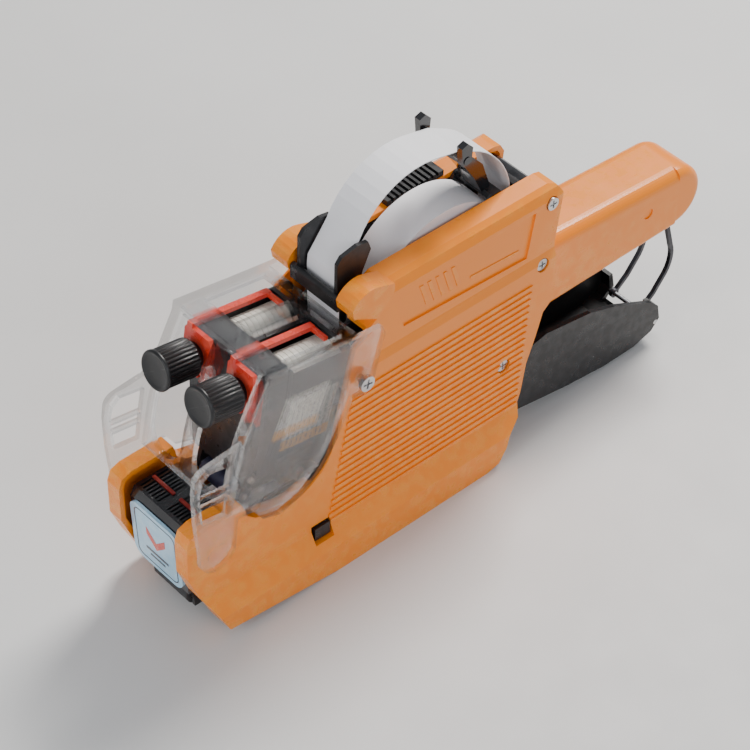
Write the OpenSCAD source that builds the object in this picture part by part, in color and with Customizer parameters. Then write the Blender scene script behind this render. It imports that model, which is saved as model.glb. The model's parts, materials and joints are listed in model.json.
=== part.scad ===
// Two-line price labelling gun: +X is the nose, +Z is up, the base rests on Z = 0.

/* [Casing] */
// Half of the width across the flat sides
side_y = 21.5; // [21.5:0.1:21.7]
// Half of the width across the skirt
skirt_y = 26; // [25.5:0.1:27]
// Height of the roof edge above the table
roof_z = 115.2; // [115:0.1:116]
// Wall thickness of the casing
wall = 2; // [1.8:0.1:2.2]
// Spacing of the horizontal grip ribs
rib_pitch = 3; // [2.8:0.1:3.2]
// Number of grip ribs on each side
rib_count = 19; // [10:1:19]

/* [Label roll] */
// Radius of a full roll of labels
roll_r = 31; // [26:0.5:31]
// Width of the label tape
tape_w = 16; // [15:0.5:17]
// Thickness of the label tape on its backing
tape_t = 0.3; // [0.25:0.05:0.4]

/* [Print head] */
// Number of character bands on each line
band_count = 10; // [6:1:10]
// Spacing of the bands
band_pitch = 2.18; // [2.1:0.01:2.2]
// Tilt of the resting head, nose up
head_tilt = 9; // [8.5:0.5:9]
// Distance of each knob shaft from the centre plane
knob_y = 11.2; // [11:0.1:11.3]
// Radius of a knob
knob_r = 7.4; // [7:0.1:7.6]
// Length of a knob's fluted part
knob_len = 14; // [12:0.5:15]

/* [Cover] */
// Half of the outside width of the clear cover
cover_y = 24.6; // [24.4:0.1:25]
// Wall thickness of the clear cover
cover_t = 2.2; // [2:0.1:2.4]

/* [Lever] */
// Half of the outside width of the trigger lever
lever_y = 15.4; // [15.4:0.1:15.6]
// Wall thickness of the trigger lever
lever_t = 1.8; // [1.6:0.1:1.8]

/* [Hidden] */
$fn = 64;
tape_y = tape_w / 2;
plate_in = 9.6;
plate_out = 11.1;
roll_at = [-41, 88];
head_at = [-2, 58];
lever_at = [0, 26];
cover_at = [15, 23];
feed_at = [44, 19];
catch_at = [26.5, 20.5];
door_at = [-47, 5.4];
apply_at = [71, 11.6];
hook_at = [-148.4, 9];
pawl_at = [30, 30.6];
handle_screw_at = [-141, 65.5];
arm_pin_at = [31, 48.5];
shaft_w = 30;
shaft_r = 2;
fit = 0.05;
band_u = 23;
band_r = 6.6;
band_t = 0.9;
anvil_y = 5.6;
anvil_w = -20.4;
anvil_r = 1.1;
anvil_band_r = 2.1;
front_wall_u = 45.5;
front_end_u = 56;
screw_r = 1.5;
screw_head_r = 2.5;
cut_c = [41, 64];
cut_r = 21.5;

// ---- outlines and small helpers ----
function arc(c, r, a0, a1, n) =
    [for (i = [0:n]) let (a = a0 + (a1 - a0) * i / n) [c.x + r * cos(a), c.y + r * sin(a)]];

function norm2(v) = v / norm(v);

// The point in X and Z moved by dx and dz, at a given y.
function at3(p, y, dx, dz) = [p.x + dx, y, p.y + dz];

// Anticlockwise outline moved inwards by d.
function inset(p, d) =
    [for (i = [0:len(p) - 1])
        let (a = p[(i + len(p) - 1) % len(p)], b = p[i], c = p[(i + 1) % len(p)],
             e = norm2(b - a), f = norm2(c - b),
             n = [-e.y, e.x], m = [-f.y, f.x], s = norm2(n + m))
        b + s * d / max(0.4, s * n)];

// Belt of radius r1 round c1 and r2 round c2, anticlockwise, c1 above c2.
function belt(c1, r1, c2, r2, n) =
    let (d = c1 - c2, a = atan2(d.y, d.x), g = asin((r1 - r2) / norm(d)))
    concat(arc(c1, r1, a - 90 - g, a + 90 + g, n), arc(c2, r2, a + 90 + g, a + 270 - g, n));

// An outline in X and Z, as thick as y0 to y1.
module slab(points, y0, y1) {
    translate([0, y1, 0])
        rotate([90, 0, 0])
            linear_extrude(y1 - y0)
                polygon(points);
}

// An outline in Y and Z, drawn along X.
module bar(points, x0, x1) {
    translate([x0, 0, 0])
        rotate([90, 0, 90])
            linear_extrude(x1 - x0)
                polygon(points);
}

module y_rod(at, r, y0, y1) {
    translate([at.x, y1, at.y])
        rotate([90, 0, 0])
            cylinder(r = r, h = y1 - y0);
}

module x_rod(y, z, r, x0, x1) {
    translate([x0, y, z])
        rotate([0, 90, 0])
            cylinder(r = r, h = x1 - x0);
}

module block(low, high) {
    translate(low)
        cube(high - low);
}

// The head's own frame: origin on the head pivot, tilted nose up.
module in_head() {
    translate([head_at.x, 0, head_at.y])
        rotate([0, -head_tilt, 0])
            children();
}

// A wire coil: turns round the Z axis from z = 0 to height.
module coil(r, wire, turns, height, steps = 12, sides = 6) {
    rings = turns * steps;
    points = [for (i = [0:rings], j = [0:sides - 1])
        let (a = 360 * i / steps, b = 360 * j / sides, q = r + wire * cos(b))
        [q * cos(a), q * sin(a), height * i / rings + wire * sin(b)]];
    skin = [for (i = [0:rings - 1], j = [0:sides - 1])
        let (k = (j + 1) % sides)
        [i * sides + j, i * sides + k, (i + 1) * sides + k, (i + 1) * sides + j]];
    ends = [[for (j = [0:sides - 1]) sides - 1 - j], [for (j = [0:sides - 1]) rings * sides + j]];
    polyhedron(points, concat(skin, ends));
}

// ---- casing ----
function cut_edge() = arc(cut_c, cut_r, 193, 270, 8);

function casing_outline() = concat(
    [[74, 12], [71, 5.2], [21.6, 0], [-50, 0]],
    [[-56, 1.5], [-59.5, 7], [-61, 13], [-66.5, 17], [-69.5, 26], [-71.5, 39], [-75.5, 50]],
    [[-78.5, 60], [-83, 64], [-83.2, 90], [-86, 111], [-84, 114.4], [-81, roof_z]],
    [[-5, roof_z], [-1.5, 113], [0.5, 103], [11, 97]],
    cut_edge(),
    [[55, 46.3], [59, 50], [61, 56.5], [79, 56.5], [83, 55], [84.5, 51], [84.5, 36], [80, 24]]);

function clockwise(p) = [for (i = [len(p) - 1:-1:0]) p[i]];

casing = casing_outline();
cavity = inset(clockwise(casing), wall);
side_profile = [
    [plate_in, -1], [skirt_y, -1], [skirt_y, 13], [side_y, 22], [side_y, 84], [side_y - 1.2, 87.5],
    [side_y - 1.2, 110.5], [side_y - 2.6, 113.8], [side_y - 5, roof_z + 0.2], [plate_in, roof_z + 0.2]];
inner_profile = [
    [plate_in - 1, -2], [skirt_y - wall, -2], [skirt_y - wall, 12.2], [side_y - wall, 21.2],
    [side_y - wall, 83], [side_y - wall - 1.3, 87], [side_y - wall - 1.3, 110],
    [side_y - wall - 3.5, roof_z - wall], [plate_in - 1, roof_z - wall]];
hump = concat([[-7, 112], [0.2, 103.6], [10.9, 109.6]], arc([3, 108.5], 9.6, 28, 112, 6), [[-7, roof_z - 0.1]]);
case_screws = [[-80.6, 108.6], [-77, 82.9], [-60, 44.7]];

// Front and rear ends of the rib at height z.
function rib_front(z) = 12.5 + (74 - z) * 0.21;
function rib_rear(z) = -72 + (76 - z) * 0.085;

module left_half_shell() {
    difference() {
        union() {
            intersection() {
                slab(casing, plate_in, skirt_y + 1);
                bar(side_profile, -90, 90);
            }
            slab(hump, 12.4, side_y - 0.6);
            for (i = [0:rib_count - 1]) {
                z = 76 - rib_pitch * i;
                block([rib_rear(z), side_y - 0.1, z - 0.75], [rib_front(z), side_y + 0.55, z + 0.75]);
            }
        }
        difference() {
            intersection() {
                slab(cavity, plate_in - 1, skirt_y);
                bar(inner_profile, -90, 90);
            }
            for (p = case_screws)
                y_rod(p, 3.6, 11.3, skirt_y);
        }
        // open base, lever gate, handle gate, head gate and nose gate
        block([-48, 0, -1], [68, skirt_y - wall, 8]);
        block([-90, 0, -1], [-44, lever_y + 0.4, 55]);
        block([-90, 0, 47], [-76.5, 13.2, 85]);
        block([4, 0, 44], [41, side_y - wall, 102]);
        block([20, 0, 30], [60, 15.8, 60]);
        block([58, 0, -1], [90, 15, 60]);
        // recessed name panel
        slab([[-73, 108.5], [-69.6, 89.6], [-12, 92.5], [-8, 108.5]], side_y - 1.9, side_y);
        // square hole of the door catch, screw holes and the cover's pivot hole
        block([catch_at.x - 4.2, side_y - 5, catch_at.y - 3.7], [catch_at.x + 4.2, skirt_y + 1, catch_at.y + 3.7]);
        for (p = case_screws)
            y_rod(p, screw_r + fit, 0, skirt_y);
        for (p = case_screws)
            y_rod(p, screw_head_r + 0.3, side_y - 2.2, skirt_y);
        in_head()
            y_rod(cover_at, screw_r + fit, 12, skirt_y);
    }
    in_head()
        difference() {
            y_rod(cover_at, 3.8, 16, side_y + 0.3);
            y_rod(cover_at, screw_r + fit, 12, skirt_y);
        }
}

module left_shell() {
    color("darkorange")
        left_half_shell();
}

module right_shell() {
    color("darkorange")
        difference() {
            mirror([0, 1, 0])
                left_half_shell();
            block([-54, -15.6, 110], [-38, -13, 120]);
        }
}

module casing_screws() {
    color("silver")
        for (p = case_screws)
            difference() {
                union() {
                    y_rod(p, screw_r, -side_y + 3, side_y - 1.6);
                    y_rod(p, screw_head_r, side_y - 2.2, side_y - 0.6);
                }
                block([p.x - 0.35, side_y - 1.2, p.y - 1.6], [p.x + 0.35, side_y, p.y + 1.6]);
                block([p.x - 1.6, side_y - 1.2, p.y - 0.35], [p.x + 1.6, side_y, p.y + 0.35]);
            }
}

// ---- chassis ----
frame_side = [
    [-80.6, 64], [-78, 60.5], [-66, 52], [-40, 44], [-26, 18], [-10, 14], [20, 9.4], [60, 9.4], [66, 7.4],
    [74.6, 7.4], [75.8, 19], [75.6, 33.5], [21, 33.5], [13, 36], [8, 52], [5, 70], [8.6, 95.4],
    [-0.9, 100.9], [-1.9, 101.4], [-4.6, 112.4], [-76.6, 112.4], [-76.6, 90], [-80.6, 87]];
tang = [[-147, 60], [-80, 59], [-80, 76], [-112, 75], [-147, 70.6]];

module frame_plate() {
    difference() {
        union() {
            slab(frame_side, plate_in, plate_out);
            slab(tang, plate_in, plate_out);
        }
        for (p = case_screws)
            y_rod(p, screw_r + fit, 0, 20);
        y_rod(roll_at, 7 + fit, 0, 20);
        y_rod(head_at, 2 + fit, 0, 20);
        y_rod(lever_at, 2.5 + fit, 0, 20);
        y_rod(feed_at, 2 + fit, 0, 20);
        y_rod(apply_at, 1.5 + fit, 0, 20);
        y_rod(handle_screw_at, screw_r + fit, 0, 20);
        y_rod(pawl_at, 1 + fit, 0, 20);
        block([catch_at.x - 4.4, 0, catch_at.y - 3.9], [catch_at.x + 4.4, 20, catch_at.y + 3.9]);
    }
}

module left_frame_plate() {
    color("dimgray")
        frame_plate();
}

module right_frame_plate() {
    color("dimgray")
        mirror([0, 1, 0])
            frame_plate();
}

module rear_crossbar() {
    color("black")
        difference() {
            union() {
                y_rod(case_screws[0], 2.9, -plate_out, plate_out);
                block([-83.4, -plate_in, 84], [-81, plate_in, 110]);
            }
            y_rod(case_screws[0], screw_r + fit, -20, 20);
        }
}

module frame_spacers() {
    color("black")
        for (p = [case_screws[1], case_screws[2]])
            difference() {
                y_rod(p, 2.6, -plate_in, plate_in);
                y_rod(p, screw_r + fit, -20, 20);
            }
}

// ---- handle ----
handle_c = [-156.8, 63.8];
handle_r = 13;
handle_y = 12.6;
handle_edge = 5;
handle_root = -80.9;
handle_foot_z = 49.6;
top_slope = 3.3;
foot_slope = 0.9;

// A long prism whose top edges are rounded by r, turned to follow a sloping edge.
module rounded_top(at, slope, r, length) {
    section = concat([[-handle_y, -60]], arc([-handle_y + r, -r], r, 180, 90, 8),
                     arc([handle_y - r, -r], r, 90, 0, 8), [[handle_y, -60]]);
    translate([at.x, 0, at.y])
        rotate([0, -slope, 0])
            bar(section, -length, 10);
}

module handle_solid() {
    intersection() {
        block([handle_c.x, -handle_y, 40], [handle_root, handle_y, 90]);
        rounded_top([handle_root, 81.2], top_slope, handle_edge, 120);
        translate([0, 0, 2 * handle_foot_z])
            mirror([0, 0, 1])
                rounded_top([handle_root, handle_foot_z], foot_slope, 2, 120);
    }
    intersection() {
        block([handle_c.x - 20, -handle_y, 40], [handle_c.x, handle_y, 90]);
        translate([handle_c.x, 0, handle_c.y])
            rotate([90, 0, 0])
                rotate_extrude()
                    polygon(concat([[0, -handle_y]],
                                   arc([handle_r - 3.5, -handle_y + 3.5], 3.5, -90, 0, 8),
                                   arc([handle_r - handle_edge, handle_y - handle_edge], handle_edge, 0, 90, 8),
                                   [[0, handle_y]]));
    }
}

module fixed_handle() {
    hollow = concat([[-70, 40], [-70, 77], [-81, 77]], arc(handle_c, 10.6, 90, 220, 8), [[-165, 40]]);
    color("darkorange")
        difference() {
            handle_solid();
            slab(hollow, -11.3, 11.3);
            y_rod(handle_screw_at, screw_r + fit, -20, 0);
            y_rod(handle_screw_at, screw_head_r + 0.2, -20, -11.9);
            // blind mark opposite the screw
            y_rod(handle_screw_at, screw_head_r - 0.2, 12.1, 20);
        }
}

module handle_screw() {
    color("silver")
        difference() {
            union() {
                y_rod(handle_screw_at, screw_r, -12.2, 11.2);
                y_rod(handle_screw_at, screw_head_r, -12.6, -11.9);
            }
            block(at3(handle_screw_at, -13, -1.6, -0.35), at3(handle_screw_at, -12.3, 1.6, 0.35));
            block(at3(handle_screw_at, -13, -0.35, -1.6), at3(handle_screw_at, -12.3, 0.35, 1.6));
        }
}

// ---- label roll and its path ----
module roll_hub() {
    color("black")
        difference() {
            union() {
                y_rod(roll_at, 7, -plate_out, plate_out);
                for (s = [-1, 1])
                    y_rod(roll_at, 12.35, s * 6 - 1.5, s * 6 + 1.5);
            }
            y_rod(roll_at, 4.5, -20, 20);
        }
}

module roll_core() {
    color("burlywood")
        difference() {
            y_rod(roll_at, 13.6, -tape_y, tape_y);
            y_rod(roll_at, 12.4, -20, 20);
        }
}

module label_roll() {
    color("white")
        difference() {
            y_rod(roll_at, roll_r, -tape_y, tape_y);
            y_rod(roll_at, 13.6, -20, 20);
        }
}

// Route of the tape: up behind the roll, over the fork, down through the guide, along the table.
tape_route = concat(
    [[-72.6, 88], [-72.4, 100]],
    arc([-38.3, 108.3], 33.8, 180, 115, 9),
    [[-47, 142]],
    arc([-29.5, 115.4], 29.8, 102, 24, 9),
    arc([-16, 112], 22.4, 12, 0, 3),
    [[6.4, 60], [6.8, 48]],
    arc([18, 47], 11, 185, 270, 6),
    [[66, 36]],
    arc([74.5, 34.6], 1.4, 90, -47, 5),
    arc(feed_at, 10.4, -47, -160, 8),
    [[33.2, 18]]);

function side_shift(p, d) =
    [for (i = [0:len(p) - 1])
        let (a = p[max(0, i - 1)], b = p[min(len(p) - 1, i + 1)], e = norm2(b - a))
        p[i] + [-e.y, e.x] * d];

module label_tape() {
    color("white")
        slab(concat(side_shift(tape_route, tape_t / 2), clockwise(side_shift(tape_route, -tape_t / 2))),
             -tape_y, tape_y);
}

fork_at = [-47, 140.4];

module tape_fork() {
    color("black") {
        slab([[-66, 113.2], [-62, 113.2], [-57.6, 122.6], [-52, 131], [-45.4, 138], [-44.6, 140.4],
              [-46.4, 141.2], [-48.8, 139.6], [-55, 134], [-61.5, 126.6]], -4.6, 4.6);
        slab([[-66, 113], [-61.6, 113], [-62, 115.6], [-66, 115.6]], -9.4, 9.4);
        for (s = [-1, 1])
            slab([[-66, 104], [-56, 104], [-57, 110], [-61.6, 115.6], [-66, 115.6]], s * 8.85 - 0.6, s * 8.85 + 0.6);
        y_rod(fork_at - [0, 0.4], 1.5, -12, 12);
        for (s = [-1, 1])
            slab([[-49, 138.6], [-49.6, 144.5], [-47.2, 147], [-44.4, 146], [-45, 138.6]], s * 10.4 - 1.3, s * 10.4 + 1.3);
    }
}

module finger_pad() {
    color("black")
        difference() {
            union() {
                block([-57, -20, roof_z + 0.1], [-31, -9.8, roof_z + 2.4]);
                block([-53, -15.3, roof_z - 3], [-45, -13.3, roof_z + 1]);
                block([-54, -15.9, roof_z - 3.9], [-44, -11.5, roof_z - 2.4]);
            }
            for (i = [0:9])
                block([-54.6 + 2.3 * i, -21, roof_z + 1.3], [-53.4 + 2.3 * i, 0, roof_z + 3]);
        }
}

module tape_guide() {
    wing = [[9, 107], [8.8, 124.5], [6.8, 127], [0, 128.4], [-4.6, 127.6], [-5.8, 124], [-2, 116], [0.6, 107]];
    color("black") {
        block([8, -12, 106.4], [10.6, 12, 111]);
        y_rod([9.3, 111], 1.3, -12, 12);
        for (s = [-1, 1]) {
            slab(wing, s * 9.4 - 0.8, s * 9.4 + 0.8);
            slab([[-1, 96], [3.4, 96], [3.4, 110], [-1, 110]], s * 8.9 - 0.6, s * 8.9 + 0.6);
        }
        y_rod([2.6, 107.8], 1.6, -9, 9);
    }
}

module label_table() {
    color("black")
        union() {
            block([20, -plate_in, 33.6], [66, plate_in, 35.6]);
            block([66, -plate_in, 34], [73.4, plate_in, 35.6]);
        }
}

module peel_plate() {
    color("silver")
        slab([[60, 27.4], [61, 27.4], [73.4, 33.2], [73.4, 33.9], [66.6, 33.9], [60, 28.4]], -tape_y - 1, tape_y + 1);
}

// ---- print head ----
head_half = [[9.6, -20.6], [19.1, 24], [19.1, 36], [17.5, 38], [-17.5, 38], [-19.1, 36], [-19.1, 24], [-9.6, -20.6]];

arm_outline = concat(arc([0, 0], 4.6, 90, 250, 8), [[12, -17.6], [26, -20], [37, -20], [39, -17], [39, -9.4],
    [23.4, -8], [22.4, 5]]);
pin_slot = [[29.2, -16.6], [38, -16.9], [38, -13.1], [29.2, -12.6]];

module head_housing() {
    color([0.12, 0.12, 0.13])
        in_head()
            difference() {
                union() {
                    bar(head_half, front_wall_u, front_end_u);
                    bar(head_half, 20.4, 22.4);
                    bar([[-1.2, -14], [1.2, -14], [1.2, 37], [-1.2, 37]], 21, 46);
                    for (s = [-1, 1]) {
                        bar([[s * 18.0, 26], [s * 19.1, 26], [s * 19.1, 36], [s * 18.0, 36]], 21, 46);
                        slab(arm_outline, s * 12.5 - 0.8, s * 12.5 + 0.8);
                    }
                    bar([[-9.6, -20.6], [-8.9, -20.6], [-8.9, -17.5], [-9.6, -17.5]], 21, 46);
                    bar([[8.9, -20.6], [9.6, -20.6], [9.6, -17.5], [8.9, -17.5]], 21, 46);
                }
                // room for the ink roller
                block([47.2, -20, -30], [60, 20, -9.6]);
                for (s = [-1, 1]) {
                    x_rod(s * knob_y, shaft_w, shaft_r + fit, 10, 70);
                    x_rod(s * anvil_y, anvil_w + 1, anvil_r + fit, 20.9, 47);
                }
                y_rod([0, 0], 2 + fit, -20, 20);
                // slots for the lever's pins, long enough for the whole stroke
                slab(pin_slot, 11, 20);
                slab(pin_slot, -20, -11);
            }
    color([0.12, 0.12, 0.13])
        in_head()
            difference() {
                for (s = [-1, 1])
                    slab([[48, -9.5], [52.4, -9.5], [52.4, -14.6], [48, -14.6]], s * 9 - 0.7, s * 9 + 0.7);
                y_rod(ink_hinge, 1.2, -20, 20);
            }
}

module print_bands(s) {
    outer = belt([s * knob_y, shaft_w], band_r, [s * anvil_y, anvil_w + 1], anvil_band_r, 14);
    inner = belt([s * knob_y, shaft_w], band_r - band_t, [s * anvil_y, anvil_w + 1], anvil_band_r - band_t, 14);
    color("gainsboro")
        in_head()
            for (i = [0:band_count - 1])
                difference() {
                    bar(outer, band_u + band_pitch * i, band_u + band_pitch * i + 1.95);
                    bar(inner, band_u + band_pitch * i - 1, band_u + band_pitch * i + 3);
                }
}

module left_bands() {
    print_bands(1);
}

module right_bands() {
    print_bands(-1);
}

module band_wheels(s) {
    color("gray")
        in_head()
            for (i = [0:band_count - 1])
                difference() {
                    x_rod(s * knob_y, shaft_w, band_r - band_t - 0.1, band_u + band_pitch * i + 0.1, band_u + band_pitch * i + 1.85);
                    x_rod(s * knob_y, shaft_w, 3.1, 10, 70);
                }
}

module left_band_wheels() {
    band_wheels(1);
}

module right_band_wheels() {
    band_wheels(-1);
}

module band_anvils() {
    color("silver")
        in_head()
            for (s = [-1, 1])
                x_rod(s * anvil_y, anvil_w + 1, anvil_r, 21, 46.5);
}

module head_pin() {
    color("silver")
        y_rod(head_at, 2, -13.9, 13.9);
}

// The selector keeps the same hand on both lines.
module selector(s) {
    c = s * knob_y;
    plate = [
        [c - 6.8, 26], [c - 4.6, 21.5], [c + 1.8, 21], [c + 2.4, 23.4], [c + 6.9, 20.6], [c + 6.9, 36],
        [c + 5.4, 38.6], [c - 5.8, 38.6], [c - 6.8, 37.4]];
    color("tomato")
        in_head()
            difference() {
                union() {
                    bar(plate, 57.6, 59.6);
                    bar([[c - 5.8, 38.5], [c - 3.2, 38.5], [c - 3.2, 40.2], [c - 5.8, 40.2]], 25.4, 59.6);
                    bar([[c - 5.8, 38.5], [c + 3.5, 38.5], [c + 3.5, 39.9], [c - 5.8, 39.9]], 25.4, 27);
                }
                x_rod(c, shaft_w, shaft_r + fit, 50, 70);
            }
}

module left_selector() {
    selector(1);
}

module right_selector() {
    selector(-1);
}

module knob_shaft(s) {
    color("silver")
        in_head()
            union() {
                x_rod(s * knob_y, shaft_w, shaft_r, 16, 64);
                x_rod(s * knob_y, shaft_w, 2.7, 24, 25.8);
            }
}

module left_knob_shaft() {
    knob_shaft(1);
}

module right_knob_shaft() {
    knob_shaft(-1);
}

module knob(s) {
    color([0.1, 0.1, 0.1])
        in_head()
            difference() {
                union() {
                    x_rod(s * knob_y, shaft_w, 4.6, 60, 64.2);
                    difference() {
                        x_rod(s * knob_y, shaft_w, knob_r, 63, 63 + knob_len - 1);
                        for (a = [0:15:345])
                            translate([0, s * knob_y, shaft_w])
                                rotate([a, 0, 0])
                                    x_rod(knob_r + 0.25, 0, 0.7, 60, 90);
                    }
                    x_rod(s * knob_y, shaft_w, knob_r - 0.6, 62.4, 63 + knob_len);
                }
                x_rod(s * knob_y, shaft_w, shaft_r, 50, 64);
            }
}

module left_knob() {
    knob(1);
}

module right_knob() {
    knob(-1);
}

// ---- ink roller ----
ink_hinge = [50.2, -12.5];
ink_at = [51.7, -19.4];

module ink_roller() {
    color([0.1, 0.1, 0.14])
        in_head()
            difference() {
                y_rod(ink_at, 3.9, -8, 8);
                y_rod(ink_at, 1.2 + fit, -20, 20);
            }
}

module ink_carrier() {
    color("black")
        in_head()
            difference() {
                for (s = [-1, 1])
                    slab(belt(ink_hinge, 2.4, ink_at, 2.39, 8), s * 11 - 0.9, s * 11 + 0.9);
                y_rod(ink_at, 1.2, -20, 20);
                y_rod(ink_hinge, 1.2 + fit, -20, 20);
            }
}

module ink_pin() {
    color("silver")
        in_head()
            y_rod(ink_at, 1.2, -11.9, 11.9);
}

module ink_hinge_pins() {
    color("silver")
        in_head()
            for (s = [-1, 1])
                y_rod(ink_hinge, 1.2, s * 10.3 - 1.8, s * 10.3 + 1.8);
}

// ---- clear cover, drawn in the head's frame ----
cover_front = [[60, 44], [60.2, 40], [65.5, 24.7], [67.6, 17], [69, 6], [69.8, -10], [69.8, -11.6]];
cover_side = concat(
    [[20, 44], [10.5, 44.4], [8.6, 41], [9.6, 34], [11, 18.8], [14, 17.4], [19.4, 17.6], [21, 12]],
    [[24.2, 2], [29, -8], [37, -16.4], [46, -20.6], [54, -19], [59, -13.4]],
    [[69.8, -13.4], [69.8, -10], [69, 6], [67.6, 17], [65.5, 24.7], [60.2, 40], [59, 44]]);
loop_foot = [72.6, -25.6];
loop_out = concat(
    [[66.4, 2], [65.6, -14]],
    arc(loop_foot, 7.6, 172, 368, 12),
    [[84, -9.2], [86.6, 6]],
    arc([82, 11], 4.6, 5, 80, 5),
    [[75.6, 17.4], [66, 19.6]]);
loop_in = [[70.6, 12.6], [71, 0], [71, -9], [81.2, -9], [84.2, 5], [83.8, 10], [81, 13]];

module clear_cover() {
    color([0.8, 0.88, 0.9, 0.5])
        in_head()
            union() {
                for (s = [-1, 1])
                    difference() {
                        y = s * (cover_y - cover_t / 2);
                        union() {
                            slab(cover_side, y - cover_t / 2, y + cover_t / 2);
                            difference() {
                                slab(loop_out, y - cover_t / 2, y + cover_t / 2);
                                slab(loop_in, y - 3, y + 3);
                            }
                            slab([[70, -2.2], [84.6, -2.2], [84.6, -0.8], [70, -0.8]], y - 0.8, y + 0.8);
                            slab([[70, 2], [84.6, 2], [84.6, 3.4], [70, 3.4]], y - 0.8, y + 0.8);
                        }
                        y_rod(cover_at, screw_r + fit, -40, 40);
                        y_rod(loop_foot, 4.2, s * (cover_y + 1) - 1.6, s * (cover_y + 1) + 1.6);
                    }
                difference() {
                    block([20, -cover_y, 44 - cover_t], [60, cover_y, 44]);
                    for (s = [-1, 1])
                        block([24.5, min(s * 4, s * 19.8), 40], [50.4, max(s * 4, s * 19.8), 50]);
                }
                difference() {
                    slab(concat(cover_front, clockwise([for (p = cover_front) p - [cover_t, 0]])), -cover_y, cover_y);
                    for (s = [-1, 1])
                        block([50, s * knob_y - 8.2, -0.8], [80, s * knob_y + 8.2, 41.3]);
                    for (s = [-1, 1])
                        x_rod(s * knob_y, -0.8, 8.2, 50, 80);
                }
                x_rod(0, 31, 2.4, 62, 64.8);
            }
}

module cover_screws() {
    color("silver")
        in_head()
            for (s = [-1, 1])
                difference() {
                    union() {
                        y_rod(cover_at, screw_r, s * 21.2 - 4, s * 21.2 + 4);
                        y_rod(cover_at, 3, s * (cover_y + 0.85) - 0.8, s * (cover_y + 0.85) + 0.8);
                    }
                    block([cover_at.x - 0.4, s * (cover_y + 1.6) - 0.7, cover_at.y - 2], [cover_at.x + 0.4, s * (cover_y + 1.6) + 0.7, cover_at.y + 2]);
                    block([cover_at.x - 2, s * (cover_y + 1.6) - 0.7, cover_at.y - 0.4], [cover_at.x + 2, s * (cover_y + 1.6) + 0.7, cover_at.y + 0.4]);
                }
}

// ---- trigger lever ----
lever_side = concat(
    [[-22, 31], [-8, 34.4], [6, 37], [20, 43], [26.6, 50.4]],
    arc(arm_pin_at, 3.6, 130, -40, 7),
    [[22, 31.4], [5.4, 18.6], [-6, 18.2], [-30, 19], [-55, 13], [-80, 8.4], [-100, 5], [-121, 2.6],
     [-137, 2.8], [-146.4, 5.4], [-150.4, 10], [-149, 17], [-145, 21], [-124, 31.4], [-111, 36],
     [-88, 39.6], [-72, 36.2], [-66, 32.4], [-57, 31.6], [-50, 32]]);

module trigger_lever() {
    color([0.13, 0.13, 0.14])
        difference() {
            union() {
                for (s = [-1, 1])
                    slab(lever_side, s * (lever_y - lever_t / 2) - lever_t / 2, s * (lever_y - lever_t / 2) + lever_t / 2);
                slab([[-84, 7.8], [-100, 5], [-121, 2.6], [-137, 2.8], [-146.4, 5.4], [-150.4, 10], [-149, 17],
                      [-147.2, 17], [-148, 10.6], [-145.4, 7.4], [-137, 5], [-121, 4.8], [-100, 7.2], [-84, 10]],
                     -lever_y, lever_y);
            }
            y_rod(lever_at, 2.5 + fit, -20, 20);
            y_rod(arm_pin_at, 1.4, -20, 20);
            y_rod(hook_at, 1, -20, 20);
            block([-160, -9, 5.6], [-143, 9, 20]);
        }
}

module lever_pin() {
    color("silver")
        y_rod(lever_at, 2.5, -16.2, 16.2);
}

module lever_link_pins() {
    color("silver")
        for (s = [-1, 1])
            y_rod(arm_pin_at, 1.4, s * 13.7 - 2, s * 13.7 + 2);
}

module lever_spring() {
    color("silver")
        translate([lever_at.x, -4.6, lever_at.y])
            rotate([-90, 0, 0])
                coil(3.6, 0.45, 8, 9.2);
}

hook_wire = 0.8;
hook_path = concat([hook_at, [-155, 14.6]], arc([-147.6, 30], 15.4, 212, 158, 6), [[-159, 46.2]]);

// The bent wire in side view: the path widened by the wire's radius.
module lever_hook() {
    side = concat(side_shift(hook_path, hook_wire), clockwise(side_shift(hook_path, -hook_wire)));
    color("gray")
        difference() {
            union() {
                for (s = [-1, 1])
                    slab(side, s * 7 - hook_wire, s * 7 + hook_wire);
                y_rod(hook_path[len(hook_path) - 1], 1.1, -7.8, 7.8);
                y_rod(hook_at, 2, -7.8, -6.2);
                y_rod(hook_at, 2, 6.2, 7.8);
            }
            y_rod(hook_at, 1 + fit, -20, 20);
        }
}

module hook_pin() {
    color("silver")
        y_rod(hook_at, 1, -lever_y, lever_y);
}

// ---- feed ----
module feed_wheel() {
    color("ivory")
        difference() {
            union() {
                y_rod(feed_at, 8.6, -3.4, 3.4);
                for (a = [0:45:315])
                    translate([feed_at.x, 0, feed_at.y])
                        rotate([0, a, 0])
                            slab([[7.8, -1.8], [9.8, 0], [9.2, 1.2], [7.8, 1.4]], -2, 2);
            }
            y_rod(feed_at, 2, -20, 20);
        }
}

module feed_shaft() {
    color("silver")
        y_rod(feed_at, 2, -plate_out - 0.6, plate_out + 0.6);
}

module feed_ratchet() {
    color("gray")
        difference() {
            union() {
                y_rod(feed_at, 6, 4.2, 6.6);
                for (a = [0:30:330])
                    translate([feed_at.x, 0, feed_at.y])
                        rotate([0, a, 0])
                            slab([[5.4, -1.2], [7.6, 1.2], [5.4, 1.4]], 4.2, 6.6);
            }
            y_rod(feed_at, 2, -20, 20);
        }
}

module feed_pawl() {
    color("silver")
        difference() {
            slab([[27, 30.5], [30, 32.9], [33, 31], [39.6, 26.4], [38.9, 25.3], [31, 28]], 4.3, 6.5);
            y_rod(pawl_at, 1 + fit, -20, 20);
        }
}

module pawl_pin() {
    color("silver")
        y_rod(pawl_at, 1, -plate_out, plate_out);
}

module apply_roller() {
    color([0.15, 0.15, 0.15])
        difference() {
            y_rod(apply_at, 5.6, -9, 9);
            y_rod(apply_at, 1.5 + fit, -20, 20);
        }
}

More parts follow.
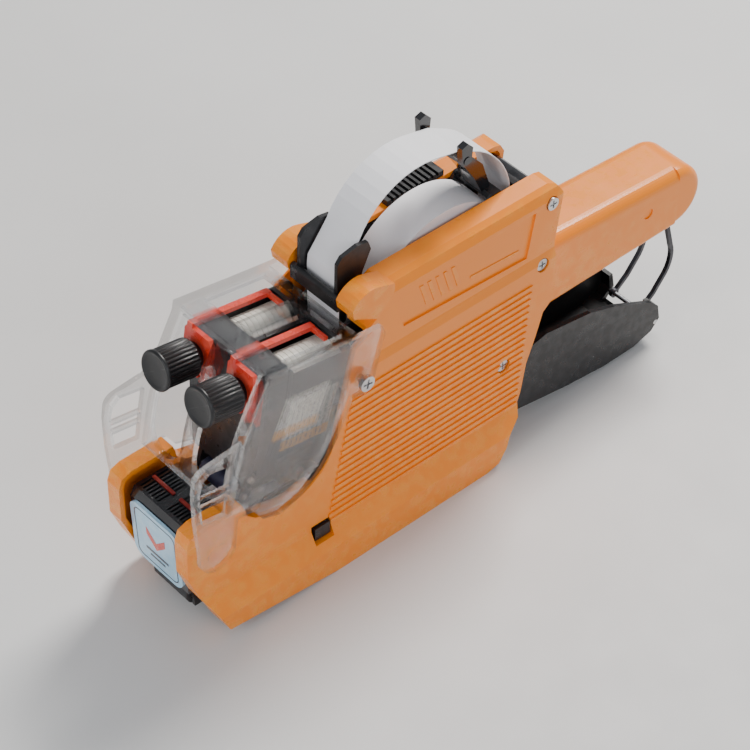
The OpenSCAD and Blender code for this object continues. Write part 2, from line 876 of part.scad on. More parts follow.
module apply_pin() {
    color("silver")
        y_rod(apply_at, 1.5, -plate_out, plate_out);
}

// ---- nose ----
module nose_block() {
    color([0.1, 0.1, 0.1])
        difference() {
            union() {
                slab([[76.2, 19.5], [79.4, 19.5], [80.6, 47], [78.8, 50.6], [63, 50.6], [63, 47.6], [76, 47.6]], -14.2, 14.2);
                for (s = [-1, 1])
                    slab([[66, 36.4], [78, 36.4], [78, 48], [63.2, 48]], s * 13 - 1.2, s * 13 + 1.2);
            }
            for (c = [-7.4, 7.4], i = [0:6])
                block([65.4, c - 5.4 + 1.6 * i, 49.2], [70.6, c - 4.6 + 1.6 * i, 52]);
            for (c = [-7.4, 7.4], i = [0:6])
                block([72.2, c - 5.4 + 1.6 * i, 49.2], [77.4, c - 4.6 + 1.6 * i, 52]);
        }
}

module nose_strips() {
    color([0.5, 0.1, 0.08])
        for (s = [-1, 1])
            block([70.8, min(s * 1.6, s * 12.8), 50.7], [72, max(s * 1.6, s * 12.8), 51.3]);
}

module nose_plate() {
    color("lightblue")
        intersection() {
            slab([[79.5, 20.4], [80.7, 20.4], [81.9, 47.6], [80.7, 47.6]], -13.2, 13.2);
            bar(concat(arc([-9.2, 43.6], 4, 90, 180, 6), arc([-8.4, 25.2], 4.8, 180, 270, 6),
                       arc([8.4, 25.2], 4.8, 270, 360, 6), arc([9.2, 43.6], 4, 0, 90, 6)), 70, 90);
        }
}

// ---- bottom door and its catches ----
module bottom_door() {
    color([0.12, 0.12, 0.12])
        difference() {
            union() {
                slab([[-43.5, 2], [-43.5, 0], [21.6, 0], [63, 4.4], [63, 6.4], [21.4, 2]], -21.6, 21.6);
                slab([[-49, 3.6], [-46, 0.8], [-40, 0.4], [-40, 2], [-46, 6]], -8.6, 8.6);
                y_rod(door_at, 3.2, -8.6, 8.6);
                for (s = [-1, 1]) {
                    block([22, s * 17.2 - 1.1, 1], [31, s * 17.2 + 1.1, catch_at.y - 3.3]);
                    block([-43, s * 8 - 0.6, 1], [20, s * 8 + 0.6, 5]);
                }
            }
            y_rod(door_at, 1.5 + fit, -30, 30);
        }
}

module door_pin() {
    color("silver")
        y_rod(door_at, 1.5, -23, 23);
}

module door_catch(s) {
    color("black")
        difference() {
            block([catch_at.x - 3.4, min(s * 5, s * 22.6), catch_at.y - 2.8], [catch_at.x + 3.4, max(s * 5, s * 22.6), catch_at.y + 2.8]);
            y_rod(catch_at, 2.3, min(s * 4, s * 11), max(s * 4, s * 11));
        }
}

module left_door_catch() {
    door_catch(1);
}

module right_door_catch() {
    door_catch(-1);
}

module catch_spring() {
    color("silver")
        translate([catch_at.x, -7.6, catch_at.y])
            rotate([-90, 0, 0])
                coil(1.6, 0.3, 9, 15.2);
}

left_shell();
right_shell();
casing_screws();
left_frame_plate();
right_frame_plate();
rear_crossbar();
frame_spacers();
fixed_handle();
handle_screw();
roll_hub();
roll_core();
label_roll();
label_tape();
tape_fork();
finger_pad();
tape_guide();
label_table();
peel_plate();
head_housing();
left_bands();
right_bands();
left_band_wheels();
right_band_wheels();
band_anvils();
head_pin();
left_selector();
right_selector();
left_knob_shaft();
right_knob_shaft();
left_knob();
right_knob();
ink_roller();
ink_carrier();
ink_pin();
ink_hinge_pins();
clear_cover();
cover_screws();
trigger_lever();
lever_pin();
lever_link_pins();
lever_spring();
lever_hook();
hook_pin();
feed_wheel();
feed_shaft();
feed_ratchet();
feed_pawl();
pawl_pin();
apply_roller();
apply_pin();
nose_block();
nose_strips();
nose_plate();
bottom_door();
door_pin();
left_door_catch();
right_door_catch();
catch_spring();
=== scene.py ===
"""Looks of the two-line price labelling gun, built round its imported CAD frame."""

import json
import math

import bmesh
import bpy
from mathutils import Matrix, Vector


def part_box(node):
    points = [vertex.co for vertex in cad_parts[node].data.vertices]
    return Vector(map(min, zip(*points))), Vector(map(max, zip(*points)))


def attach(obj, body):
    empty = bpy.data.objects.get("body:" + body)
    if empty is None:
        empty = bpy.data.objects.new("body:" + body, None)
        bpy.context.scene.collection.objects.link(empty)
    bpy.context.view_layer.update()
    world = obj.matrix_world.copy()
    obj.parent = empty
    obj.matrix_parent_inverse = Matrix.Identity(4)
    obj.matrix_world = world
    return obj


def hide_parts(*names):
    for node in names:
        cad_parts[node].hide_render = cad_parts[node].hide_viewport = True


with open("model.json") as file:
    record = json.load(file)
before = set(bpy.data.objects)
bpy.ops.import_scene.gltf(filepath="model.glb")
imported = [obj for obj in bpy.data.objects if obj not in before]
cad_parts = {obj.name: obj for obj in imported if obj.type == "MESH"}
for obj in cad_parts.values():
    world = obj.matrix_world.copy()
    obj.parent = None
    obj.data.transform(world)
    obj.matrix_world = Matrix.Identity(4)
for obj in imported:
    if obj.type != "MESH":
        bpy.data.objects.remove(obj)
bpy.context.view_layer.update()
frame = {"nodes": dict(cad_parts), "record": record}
nodes = frame["nodes"]

MM = 0.001

# The print head's own frame: origin on its pivot, tilted nose up.
HEAD_PIVOT = Vector((-2, 0, 58)) * MM
HEAD_TILT = math.radians(9)
HEAD = Matrix.Translation(HEAD_PIVOT) @ Matrix.Rotation(-HEAD_TILT, 4, "Y")
KNOB_Y = 11.2
SHAFT_W = 30
KNOB_R = 7.4
BAND_U = 23
BAND_PITCH = 2.18
BAND_WIDTH = 1.95
BAND_COUNT = 10
BAND_R = 6.6
ANVIL_Y = 5.6
ANVIL_W = -19.4
ANVIL_R = 2.1
ROLL_CENTRE = Vector((-41, 0, 88)) * MM
TAPE_Y = 8


# ---- node helpers ----
class Shader:
    """A material with a Principled shader and short calls for its nodes."""

    def __init__(self, name):
        self.material = bpy.data.materials.new(name)
        self.material.use_nodes = True
        self.tree = self.material.node_tree
        self.bsdf = self.tree.nodes["Principled BSDF"]
        self.coord = self.tree.nodes.new("ShaderNodeTexCoord")

    def link(self, a, b):
        self.tree.links.new(a, b)

    def put(self, socket, value):
        if hasattr(value, "is_output"):
            self.link(value, socket)
        else:
            socket.default_value = value

    def node(self, kind, inputs=(), **settings):
        made = self.tree.nodes.new("ShaderNode" + kind)
        for key, value in settings.items():
            setattr(made, key, value)
        for key, value in dict(inputs).items():
            self.put(made.inputs[key], value)
        return made

    def mapped(self, scale=(1, 1, 1), turn=(0, 0, 0), shift=(0, 0, 0)):
        values = {"Vector": self.coord.outputs["Object"], "Scale": scale, "Rotation": turn, "Location": shift}
        return self.node("Mapping", values).outputs["Vector"]

    def noise(self, scale, detail=3.0, rough=0.5, vector=None):
        vector = vector or self.coord.outputs["Object"]
        values = {"Vector": vector, "Scale": scale, "Detail": detail, "Roughness": rough}
        return self.node("TexNoise", values).outputs["Fac"]

    def span(self, value, low, high, to_low=0.0, to_high=1.0):
        values = {"Value": value, "From Min": low, "From Max": high, "To Min": to_low, "To Max": to_high}
        return self.node("MapRange", values).outputs["Result"]

    def maths(self, operation, a, b=0.0, c=0.0):
        made = self.node("Math", {0: a, 1: b, 2: c}, operation=operation)
        return made.outputs[0]

    def mix(self, factor, a, b):
        made = self.tree.nodes.new("ShaderNodeMix")
        made.data_type = "RGBA"
        self.put(made.inputs[0], factor)
        self.put(made.inputs[6], a)
        self.put(made.inputs[7], b)
        return made.outputs[2]

    def along(self, direction, origin=(0, 0, 0)):
        """Distance in metres along a direction of the row frame, from an origin."""
        moved = self.node("VectorMath", {0: self.coord.outputs["Object"], 1: origin}, operation="SUBTRACT")
        dot = self.node("VectorMath", {0: moved.outputs["Vector"], 1: direction}, operation="DOT_PRODUCT")
        return dot.outputs["Value"]

    def wear(self):
        """1 on convex edges, 0 elsewhere, broken up by noise."""
        pointy = self.node("NewGeometry").outputs["Pointiness"]
        return self.maths("MULTIPLY", self.span(pointy, 0.53, 0.6), self.span(self.noise(260), 0.42, 0.6))

    def bump(self, *layers):
        """Chained bumps, each (height, strength, depth in metres)."""
        normal = None
        for height, strength, depth in layers:
            made = self.node("Bump", {"Height": height, "Strength": strength, "Distance": depth})
            if normal:
                self.link(normal, made.inputs["Normal"])
            normal = made.outputs["Normal"]
        self.link(normal, self.bsdf.inputs["Normal"])

    def set(self, **values):
        for key, value in values.items():
            self.put(self.bsdf.inputs[key.replace("_", " ")], value)


def rgb(r, g, b):
    return (r, g, b, 1)


def plastic(name, colour, worn, rough, grain, gloss=0.0, tone=0.1, soft=0.0):
    """Moulded plastic: mottled tone, spark-eroded grain, rubbed edges and fine scratches."""
    s = Shader(name)
    mottled = s.span(s.noise(38, 4), 0.3, 0.7, 1 - tone, 1 + tone)
    shade = s.node("HueSaturation", {"Value": mottled, "Color": rgb(*colour)}).outputs["Color"]
    scratch = s.span(s.noise(900, 2, 0.6, s.mapped((0.06, 1, 1), (0, 0.5, 0.2))), 0.62, 0.72)
    smudge = s.span(s.noise(75, 5, 0.6), 0.35, 0.7, -0.02, 0.05)
    edge = s.wear()
    s.set(Base_Color=s.mix(s.maths("MULTIPLY", edge, 0.3), shade, rgb(*worn)))
    polished = s.maths("MULTIPLY_ADD", edge, -0.12, rough)
    s.set(Roughness=s.maths("ADD", s.maths("ADD", polished, smudge), s.maths("MULTIPLY", scratch, 0.1)))
    s.bsdf.inputs["Coat Weight"].default_value = gloss
    s.bsdf.inputs["Coat Roughness"].default_value = 0.12
    s.bsdf.inputs["IOR"].default_value = 1.5
    if soft:
        s.bsdf.inputs["Subsurface Weight"].default_value = soft
        s.bsdf.inputs["Subsurface Scale"].default_value = 0.002
        s.bsdf.inputs["Subsurface Radius"].default_value = (1.0, 0.45, 0.15)
    s.bump((s.noise(2600, 2), grain, 4e-5), (scratch, 0.12, -1e-5), (s.noise(60, 2), 0.06, 8e-5))
    return s.material


def metal(name, colour, rough, streak=(1, 0.03, 1)):
    """Plated steel: drawn streaks, fingermarks and dulled patches."""
    s = Shader(name)
    drawn = s.noise(5200, 3, 0.6, s.mapped(streak))
    patch = s.span(s.noise(120, 5, 0.65), 0.4, 0.7)
    s.set(Base_Color=s.mix(patch, rgb(*colour), rgb(*[c * 0.72 for c in colour])))
    s.bsdf.inputs["Metallic"].default_value = 1.0
    brushed = s.span(drawn, 0.3, 0.7, rough - 0.06, rough + 0.1)
    s.set(Roughness=s.maths("ADD", brushed, s.maths("MULTIPLY", patch, 0.1)))
    s.bump((drawn, 0.18, 2e-5), (s.noise(700, 2), 0.08, 2e-5))
    return s.material


def acrylic(name):
    """Clear moulded acrylic with hairline scratches and a few fingermarks."""
    s = Shader(name)
    hair = s.span(s.noise(1500, 2, 0.6, s.mapped((0.03, 1, 1), (0.3, 0.6, 0.1))), 0.66, 0.74)
    smear = s.span(s.noise(90, 5, 0.6), 0.5, 0.75)
    s.set(Base_Color=s.mix(smear, rgb(0.995, 0.997, 1.0), rgb(0.975, 0.985, 0.99)))
    scratched = s.maths("MULTIPLY_ADD", hair, 0.05, 0.004)
    s.set(Roughness=s.maths("ADD", s.maths("MULTIPLY", smear, 0.02), scratched))
    s.bsdf.inputs["Transmission Weight"].default_value = 1.0
    s.bsdf.inputs["IOR"].default_value = 1.3
    s.bsdf.inputs["Alpha"].default_value = 0.45
    s.bsdf.inputs["Specular IOR Level"].default_value = 0.25
    s.bump((hair, 0.06, -1e-5), (s.noise(45, 2), 0.05, 1e-4))
    return s.material


def rings(s, centre, pitch):
    """0 to 1 bands round an axis along Y, pitch metres apart."""
    offset = s.node("VectorMath", {0: s.coord.outputs["Object"], 1: tuple(centre)}, operation="SUBTRACT")
    flat = s.node("VectorMath", {0: offset.outputs["Vector"], 1: (1, 0, 1)}, operation="MULTIPLY")
    length = s.node("VectorMath", {0: flat.outputs["Vector"]}, operation="LENGTH").outputs["Value"]
    wobble = s.maths("ADD", length, s.span(s.noise(60, 2), 0, 1, -pitch * 0.3, pitch * 0.3))
    turn = s.maths("MULTIPLY", wobble, math.tau / pitch)
    return s.maths("MULTIPLY_ADD", s.maths("SINE", turn), 0.5, 0.5)


def paper(name, wound):
    """Coated label paper; a wound roll shows the edges of its turns on its flat sides."""
    s = Shader(name)
    fibre = s.noise(1400, 5, 0.7)
    tone = s.mix(s.span(s.noise(50, 4), 0.3, 0.7), rgb(0.86, 0.85, 0.87), rgb(0.93, 0.92, 0.94))
    layers = [(fibre, 0.25, 2e-5), (s.noise(90, 3), 0.15, 1e-4)]
    if wound:
        turns = rings(s, ROLL_CENTRE, 0.55 * MM)
        side = s.span(s.maths("ABSOLUTE", s.along((0, 1, 0))), TAPE_Y * MM * 0.992, TAPE_Y * MM * 0.999)
        line = s.maths("MULTIPLY", s.maths("POWER", turns, 6.0), side)
        tone = s.mix(s.maths("MULTIPLY", line, 0.42), tone, rgb(0.55, 0.54, 0.58))
        layers.append((s.maths("MULTIPLY", turns, side), 0.5, 6e-5))
    s.set(Base_Color=tone, Roughness=s.span(fibre, 0.3, 0.7, 0.48, 0.62))
    s.bsdf.inputs["Sheen Weight"].default_value = 0.12
    s.bump(*layers)
    return s.material


def card(name):
    """Wound grey-brown card with visible fibre."""
    s = Shader(name)
    fibre = s.noise(1200, 6, 0.75, s.mapped((1, 0.25, 1)))
    s.set(Base_Color=s.mix(s.span(fibre, 0.35, 0.65), rgb(0.36, 0.27, 0.17), rgb(0.52, 0.41, 0.28)))
    s.bsdf.inputs["Roughness"].default_value = 0.85
    s.bump((fibre, 0.5, 8e-5))
    return s.material


def band_rubber(name):
    """Character bands: white where the figures are read, yellow marks lower down, inked black type below."""
    s = Shader(name)
    down = (-math.sin(HEAD_TILT), 0, math.cos(HEAD_TILT))
    w = s.along(down, tuple(HEAD_PIVOT))
    ragged = s.maths("ADD", w, s.span(s.noise(420, 3), 0.3, 0.7, -0.4 * MM, 0.4 * MM))
    white = s.mix(s.span(s.noise(300, 4), 0.35, 0.65), rgb(0.78, 0.76, 0.68), rgb(0.62, 0.6, 0.52))
    yellow = s.mix(s.noise(500, 3), rgb(0.9, 0.42, 0.02), rgb(0.75, 0.3, 0.02))
    ink = s.mix(s.noise(600, 4), rgb(0.012, 0.012, 0.014), rgb(0.045, 0.045, 0.05))
    lower = s.mix(s.span(ragged, 0.2 * MM, 0.9 * MM), ink, yellow)
    s.set(Base_Color=s.mix(s.span(ragged, 5.0 * MM, 5.6 * MM), lower, white))
    s.set(Roughness=s.span(s.noise(200, 3), 0.3, 0.7, 0.42, 0.62))
    s.bump((s.noise(1600, 2), 0.2, 3e-5))
    return s.material


def foam(name):
    """Open-cell ink foam, nearly black and slightly wet."""
    s = Shader(name)
    cells = s.node("TexVoronoi", {"Vector": s.coord.outputs["Object"], "Scale": 1500.0}).outputs["Distance"]
    s.set(Base_Color=s.mix(s.span(cells, 0.1, 0.6), rgb(0.004, 0.004, 0.012), rgb(0.02, 0.02, 0.05)))
    s.set(Roughness=s.span(s.noise(150), 0.3, 0.7, 0.35, 0.7))
    s.bump((cells, 0.6, 1.2e-4))
    return s.material


ORANGE = plastic("orange_abs", (0.95, 0.25, 0.002), (0.97, 0.45, 0.08), 0.34, 0.16,
                 gloss=0.12, tone=0.02, soft=0.04)
BLACK = plastic("black_satin", (0.008, 0.008, 0.009), (0.035, 0.035, 0.038), 0.38, 0.2, tone=0.08)
GLOSS = plastic("black_gloss", (0.01, 0.01, 0.012), (0.05, 0.05, 0.055), 0.16, 0.05, gloss=0.5, tone=0.08)
RED = plastic("red_plastic", (0.7, 0.035, 0.018), (0.85, 0.18, 0.1), 0.3, 0.1,
              gloss=0.2, tone=0.08, soft=0.04)
DARK_RED = plastic("dark_red_plastic", (0.22, 0.008, 0.005), (0.35, 0.05, 0.03), 0.4, 0.1, tone=0.1)
IVORY = plastic("white_acetal", (0.7, 0.67, 0.58), (0.8, 0.78, 0.7), 0.4, 0.1, tone=0.06, soft=0.05)
RUBBER = plastic("soft_rubber", (0.03, 0.03, 0.032), (0.06, 0.06, 0.065), 0.62, 0.35, tone=0.1)
BLUE = plastic("pale_blue_film", (0.36, 0.62, 0.82), (0.6, 0.78, 0.9), 0.18, 0.03, gloss=0.6, tone=0.03)
NAVY = plastic("dark_print", (0.02, 0.035, 0.06), (0.05, 0.07, 0.1), 0.25, 0.03, gloss=0.6, tone=0.1)
STEEL = metal("plated_steel", (0.66, 0.66, 0.67), 0.22)
DARK_STEEL = metal("blackened_steel", (0.09, 0.09, 0.1), 0.34)
CLEAR = acrylic("clear_acrylic")
PAPER = paper("label_paper", False)
ROLL = paper("wound_label_paper", True)
CARD = card("wound_card")
BANDS = band_rubber("band_rubber")
FOAM = foam("ink_foam")

SLOT_MATERIAL = {
    "orange": ORANGE, "black": BLACK, "black_gloss": GLOSS, "steel": STEEL, "clear": CLEAR, "red": RED,
    "band_rubber": BANDS, "paper": PAPER, "card": CARD, "ink_foam": FOAM, "grey_rubber": RUBBER,
    "white_plastic": IVORY, "pale_blue": BLUE, "dark_red": DARK_RED,
}

# Edge radius in millimetres by CAD node; the rest get DEFAULT_EDGE.
DEFAULT_EDGE = 0.2
EDGE = {
    "left_shell": 0.7, "right_shell": 0.7, "fixed_handle": 0.5, "trigger_lever": 0.5, "head_housing": 0.35,
    "clear_cover": 0.5, "tape_guide": 0.45, "tape_fork": 0.5, "nose_block": 0.4, "left_selector": 0.4,
    "right_selector": 0.4, "bottom_door": 0.4, "rear_crossbar": 0.5, "finger_pad": 0.25, "label_roll": 0.15,
    "nose_plate": 0.3,
}
NO_EDGE = {"label_tape", "lever_spring", "catch_spring", "left_bands", "right_bands"}


def soften(obj, width, segments=3):
    """Rounds the sharp edges of a mesh by width metres and shades it smooth."""
    edge = obj.modifiers.new("edge", "BEVEL")
    edge.width = width
    edge.segments = segments
    edge.limit_method = "ANGLE"
    edge.angle_limit = math.radians(32)
    edge.use_clamp_overlap = True
    edge.harden_normals = True
    shade = obj.modifiers.new("shade", "WEIGHTED_NORMAL")
    shade.keep_sharp = True


def paint(obj, material):
    obj.data.materials.clear()
    obj.data.materials.append(material)


material_slots = {part["node"]: part["material_slot"] for part in frame["record"]["subparts"]}
for name, obj in nodes.items():
    paint(obj, ROLL if name == "label_roll" else SLOT_MATERIAL[material_slots[name]])
    if name not in NO_EDGE:
        soften(obj, EDGE.get(name, DEFAULT_EDGE) * MM)
paint(nodes["lever_hook"], DARK_STEEL)


# ---- mesh helpers for the pieces that Blender adds ----
def piece(name, mesh, material, body, edge=0.0):
    """A finished piece: linked, painted, softened and riding on a CAD body."""
    obj = bpy.data.objects.new(name, mesh)
    bpy.context.collection.objects.link(obj)
    paint(obj, material)
    if edge:
        soften(obj, edge * MM, 2)
    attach(obj, body)
    return obj


def prisms(name, solids):
    """One mesh of closed prisms: each is (outline of 3-D points, push vector), in millimetres."""
    bm = bmesh.new()
    for outline, push in solids:
        low = [bm.verts.new(Vector(p) * MM) for p in outline]
        high = [bm.verts.new((Vector(p) + Vector(push)) * MM) for p in outline]
        count = len(low)
        bm.faces.new(low[::-1])
        bm.faces.new(high)
        for i in range(count):
            bm.faces.new((low[i], low[(i + 1) % count], high[(i + 1) % count], high[i]))
    bmesh.ops.recalc_face_normals(bm, faces=bm.faces)
    mesh = bpy.data.meshes.new(name)
    bm.to_mesh(mesh)
    bm.free()
    return mesh


def lathe(name, profile, place, steps=64):
    """A profile of (along, radius) in millimetres turned about the local X axis, then placed."""
    bm = bmesh.new()
    rows = []
    for along, radius in profile:
        ring = []
        for i in range(steps):
            a = math.tau * i / steps
            point = Vector((along, radius * math.cos(a), radius * math.sin(a))) * MM
            ring.append(bm.verts.new(place @ point))
        rows.append(ring)
    for a, b in zip(rows, rows[1:]):
        for i in range(steps):
            j = (i + 1) % steps
            bm.faces.new((a[i], a[j], b[j], b[i]))
    bm.faces.new(rows[0][::-1])
    bm.faces.new(rows[-1])
    bmesh.ops.recalc_face_normals(bm, faces=bm.faces)
    for face in bm.faces:
        face.smooth = True
    mesh = bpy.data.meshes.new(name)
    bm.to_mesh(mesh)
    bm.free()
    return mesh


def arc(cx, cy, r, start, end, count):
    turns = [math.radians(start + (end - start) * i / count) for i in range(count + 1)]
    return [(cx + r * math.cos(a), cy + r * math.sin(a)) for a in turns]


# ---- figures on the character bands ----
FIGURES = "0123456789"
FIGURE_HEIGHT = 2.3
FIGURE_ROWS = 9
FIGURE_PITCH = 3.0
FIGURE_TOP = 24.0


def glyph_mesh(character):
    """The outline of one figure as a flat mesh about its own centre, one unit high."""
    curve = bpy.data.curves.new("figure_" + character, "FONT")
    curve.body = character
    curve.align_x = "CENTER"
    curve.align_y = "CENTER"
    curve.resolution_u = 3
    holder = bpy.data.objects.new("figure_" + character, curve)
    bpy.context.collection.objects.link(holder)
    bpy.context.view_layer.update()
    mesh = bpy.data.meshes.new_from_object(holder.evaluated_get(bpy.context.evaluated_depsgraph_get()))
    bpy.data.objects.remove(holder)
    height = max(v.co.y for v in mesh.vertices) - min(v.co.y for v in mesh.vertices)
    mesh.transform(Matrix.Scale(1 / height, 4))
    return mesh


def band_side(side, w):
    """Point and outward direction of the outer straight run of a band at height w, in the head's frame."""
    top = Vector((0, side * KNOB_Y, SHAFT_W))
    low = Vector((0, side * ANVIL_Y, ANVIL_W))
    along = (top - low).normalized()
    lean = math.asin((BAND_R - ANVIL_R) / (top - low).length)
    out = Matrix.Rotation(-side * lean, 3, "X") @ Vector((0, side * along.z, -side * along.y))
    top_edge = top + out * BAND_R
    low_edge = low + out * ANVIL_R
    run = (top_edge - low_edge).normalized()
    return low_edge + run * ((w - low_edge.z) / run.z), out, run


def band_figures(side, glyphs):
    """Thin figures printed on the outer run of all ten bands of one side."""
    bm = bmesh.new()
    for band in range(BAND_COUNT):
        for row in range(FIGURE_ROWS):
            w = FIGURE_TOP - FIGURE_PITCH * row - 0.5 * (band % 2)
            at, out, run = band_side(side, w)
            at = Vector((BAND_U + BAND_PITCH * band + BAND_WIDTH / 2, at.y, at.z)) + out * 0.02
            right = Vector((side, 0, 0)) * -1
            axes = Matrix((right, run, right.cross(run))).transposed().to_4x4()
            size = Matrix.Diagonal((FIGURE_HEIGHT * 0.82, FIGURE_HEIGHT, 1, 1))
            place = HEAD @ Matrix.Scale(MM, 4) @ Matrix.Translation(at) @ axes @ size
            mesh = glyphs[(band * 7 + row * 3) % len(glyphs)].copy()
            mesh.transform(place)
            bm.from_mesh(mesh)
            bpy.data.meshes.remove(mesh)
    mesh = bpy.data.meshes.new("figures")
    bm.to_mesh(mesh)
    bm.free()
    return mesh


glyphs = [glyph_mesh(c) for c in FIGURES]
for side, word in ((1, "left"), (-1, "right")):
    figures = piece(word + "_band_figures", band_figures(side, glyphs), NAVY, "head")
    thick = figures.modifiers.new("thick", "SOLIDIFY")
    thick.thickness = 0.06 * MM
    thick.offset = 0
for mesh in glyphs:
    bpy.data.meshes.remove(mesh)

# ---- fluted knobs with dished ends ----
KNOB_END = 77
KNOB_PROFILE = (
    [(60, 3.2), (60, 4.6), (62.4, 4.6), (62.4, KNOB_R - 1.0), (62.8, KNOB_R - 0.5), (63.4, KNOB_R - 0.35)]
    + [(75.2, KNOB_R - 0.35), (75.6, KNOB_R - 0.05)]
    + [(KNOB_END - 0.8 + 0.8 * math.sin(a), KNOB_R - 0.75 + 0.75 * math.cos(a))
       for a in (0.1, 0.5, 0.9, 1.25, 1.57)]
    + [(KNOB_END - 0.35, KNOB_R - 1.4), (KNOB_END - 0.6, KNOB_R - 2.2)]
    + [(KNOB_END - 0.75, 2.5), (KNOB_END - 0.75, 0.4)]
)
FLUTES = 30


def fluted(mesh, place):
    """Cuts shallow flutes into the grip of a knob by moving its vertices in and out."""
    back = place.inverted()
    for vertex in mesh.vertices:
        p = back @ vertex.co / MM
        if 63.3 < p.x < 75.3:
            angle = math.atan2(p.z, p.y)
            depth = 0.42 * (0.5 + 0.5 * math.cos(FLUTES * angle))
            r = math.hypot(p.y, p.z)
            p.y *= (r - depth) / r
            p.z *= (r - depth) / r
            vertex.co = place @ (p * MM)


for side, word in ((1, "left"), (-1, "right")):
    place = HEAD @ Matrix.Translation(Vector((0, side * KNOB_Y, SHAFT_W)) * MM)
    mesh = lathe(word + "_fluted_knob", KNOB_PROFILE, place, FLUTES * 8)
    fluted(mesh, place)
    knob = piece(word + "_fluted_knob", mesh, BLACK, word + "_dial")
    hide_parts(word + "_knob")

# ---- black cheeks of the print head, behind the bands ----
CHEEK = [(11.5, 19.5), (20.8, 19.5), (20.8, 25.2), (45.8, 25.2), (45.8, 37.4), (13.5, 37.4), (11.5, 35)]
CHEEK_Y = 18.2
CHEEK_T = 1.1
for side, word in ((1, "left"), (-1, "right")):
    outline = [HEAD @ (Vector((u, side * CHEEK_Y, w)) * MM) / MM for u, w in CHEEK]
    mesh = prisms(word + "_head_cheek", [(outline, (0, side * CHEEK_T, 0))])
    piece(word + "_head_cheek", mesh, BLACK, "head", edge=0.3)

# ---- nose plate print: a border and a plain downward chevron over two bars ----
plate_low, plate_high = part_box("nose_plate")
PLATE_Z = (plate_low[2] + plate_high[2]) / 2 / MM
PLATE_FACE_X = 81.32
PLATE_LEAN = math.atan2(1.2, 27.2)
PLATE_PLACE = Matrix.Translation(Vector((PLATE_FACE_X, 0, PLATE_Z))) @ Matrix.Rotation(PLATE_LEAN, 4, "Y")


def on_plate(points):
    """Points (right, up) on the plate's face, seen from the front, as row-frame millimetres."""
    return [PLATE_PLACE @ Vector((0, y, z)) for y, z in points]


PRINT = (0.08, 0, 0)
ring_out = arc(8.4, 9.2, 2.6, 0, 90, 5) + arc(-8.4, 9.2, 2.6, 90, 180, 5)
ring_out += arc(-8.4, -9.2, 2.6, 180, 270, 5) + arc(8.4, -9.2, 2.6, 270, 360, 5)


def frame_strip(points, width):
    """Quads of a thin closed line that follows points, as prisms."""
    solids = []
    count = len(points)
    shrink = [(y * (1 - width / 11), z * (1 - width / 12)) for y, z in points]
    for i in range(count):
        j = (i + 1) % count
        solids.append((on_plate([points[i], points[j], shrink[j], shrink[i]]), PRINT))
    return solids


chevron = [[(y, 5.5), (0, 0.5), (0, -3), (y, 2)] for y in (-5, 5)]
bars = [[(-6, -5), (6, -5), (6, -6.1), (-6, -6.1)], [(-4, -7.4), (4, -7.4), (4, -8.3), (-4, -8.3)]]
marks = frame_strip(ring_out, 0.35) + [(on_plate(b), PRINT) for b in bars]
piece("nose_plate_print", prisms("nose_plate_print", marks), NAVY, "casing")
mesh = prisms("nose_plate_chevron", [(on_plate(arm), PRINT) for arm in chevron])
piece("nose_plate_chevron", mesh, RED, "casing")

# ---- raised slanted bars on the name panels, in place of a name ----
PANEL_Y = 20.3
SLANT = 3.2
for side, word in ((1, "left"), (-1, "right")):
    solids = []
    for i in range(5):
        x = -22.5 - 3.6 * i
        corners = [(x, 95.5), (x - 1.7, 95.5), (x - 1.7 + SLANT, 105.5), (x + SLANT, 105.5)]
        solids.append(([(cx, side * (PANEL_Y - 0.9), cz) for cx, cz in corners], (0, side * 0.5, 0)))
    line = [(-43, 95.5), (-66, 94.2), (-66, 95.2), (-43, 96.5)]
    solids.append(([(cx, side * (PANEL_Y - 0.9), cz) for cx, cz in line], (0, side * 0.5, 0)))
    piece(word + "_panel_bars", prisms(word + "_panel_bars", solids), ORANGE, "casing", edge=0.12)

# ---- floor, light and camera ----
def pale_floor():
    s = Shader("pale_floor")
    s.set(Base_Color=s.mix(s.span(s.noise(9, 4), 0.3, 0.7), rgb(0.68, 0.675, 0.665), rgb(0.73, 0.725, 0.715)))
    s.set(Roughness=s.span(s.noise(40, 4), 0.3, 0.7, 0.5, 0.62))
    s.bump((s.noise(420, 4), 0.05, 5e-5))
    return s.material


FLOOR_SIZE = 6.0
bpy.ops.mesh.primitive_plane_add(size=FLOOR_SIZE)
floor = bpy.context.object
floor.name = "floor"
paint(floor, pale_floor())


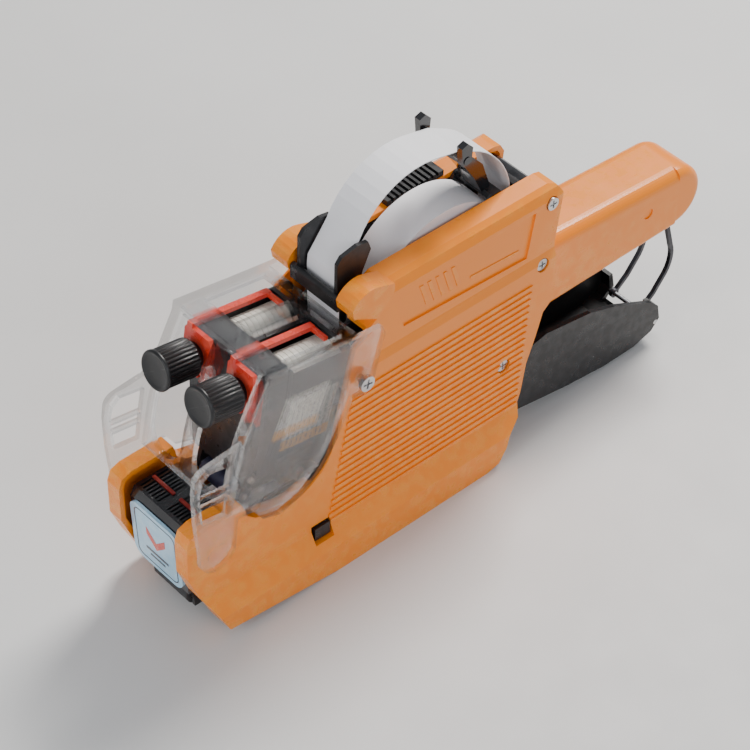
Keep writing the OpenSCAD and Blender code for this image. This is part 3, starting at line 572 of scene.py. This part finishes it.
def area_light(name, at, aim, size, power, colour=(1, 1, 1)):
    light = bpy.data.lights.new(name, "AREA")
    light.shape = "RECTANGLE"
    light.size, light.size_y = size
    light.energy = power
    light.color = colour
    obj = bpy.data.objects.new(name, light)
    bpy.context.collection.objects.link(obj)
    obj.location = at
    obj.rotation_euler = (Vector(aim) - Vector(at)).to_track_quat("-Z", "Y").to_euler()


AIM_LIGHT = (0, 0, 0.06)
area_light("window", (-0.75, -0.25, 1.0), AIM_LIGHT, (0.4, 0.3), 18, (1.0, 0.97, 0.93))
area_light("side", (0.35, 1.15, 0.75), AIM_LIGHT, (0.9, 0.6), 6, (0.93, 0.96, 1.0))
area_light("front", (1.1, 0.0, 0.55), AIM_LIGHT, (0.5, 0.7), 5)
world = bpy.data.worlds.new("studio")
bpy.context.scene.world = world
world.use_nodes = True
world.node_tree.nodes["Background"].inputs[0].default_value = (0.9, 0.94, 1.0, 1)
world.node_tree.nodes["Background"].inputs[1].default_value = 0.4

CAMERA_AZIMUTH = math.radians(137.9)
CAMERA_ELEVATION = math.radians(43.7)
CAMERA_ROLL = math.radians(0.75)
CAMERA_DISTANCE = 0.9565
CAMERA_AIM = Vector((-30.7, -14.6, 32.9)) * MM
CAMERA_LENS = 126.6

toward = Vector((
    math.sin(CAMERA_AZIMUTH) * math.cos(CAMERA_ELEVATION),
    -math.cos(CAMERA_AZIMUTH) * math.cos(CAMERA_ELEVATION),
    math.sin(CAMERA_ELEVATION),
))
right = Vector((0, 0, 1)).cross(toward).normalized()
up = toward.cross(right)
rolled_right = right * math.cos(CAMERA_ROLL) + up * math.sin(CAMERA_ROLL)
rolled_up = up * math.cos(CAMERA_ROLL) - right * math.sin(CAMERA_ROLL)
lens = bpy.data.cameras.new("camera")
lens.lens = CAMERA_LENS
lens.sensor_width = 36
lens.clip_start = 0.05
camera = bpy.data.objects.new("camera", lens)
bpy.context.collection.objects.link(camera)
turned = Matrix((rolled_right, rolled_up, toward)).transposed().to_4x4()
camera.matrix_world = Matrix.Translation(CAMERA_AIM + toward * CAMERA_DISTANCE) @ turned
bpy.context.scene.camera = camera
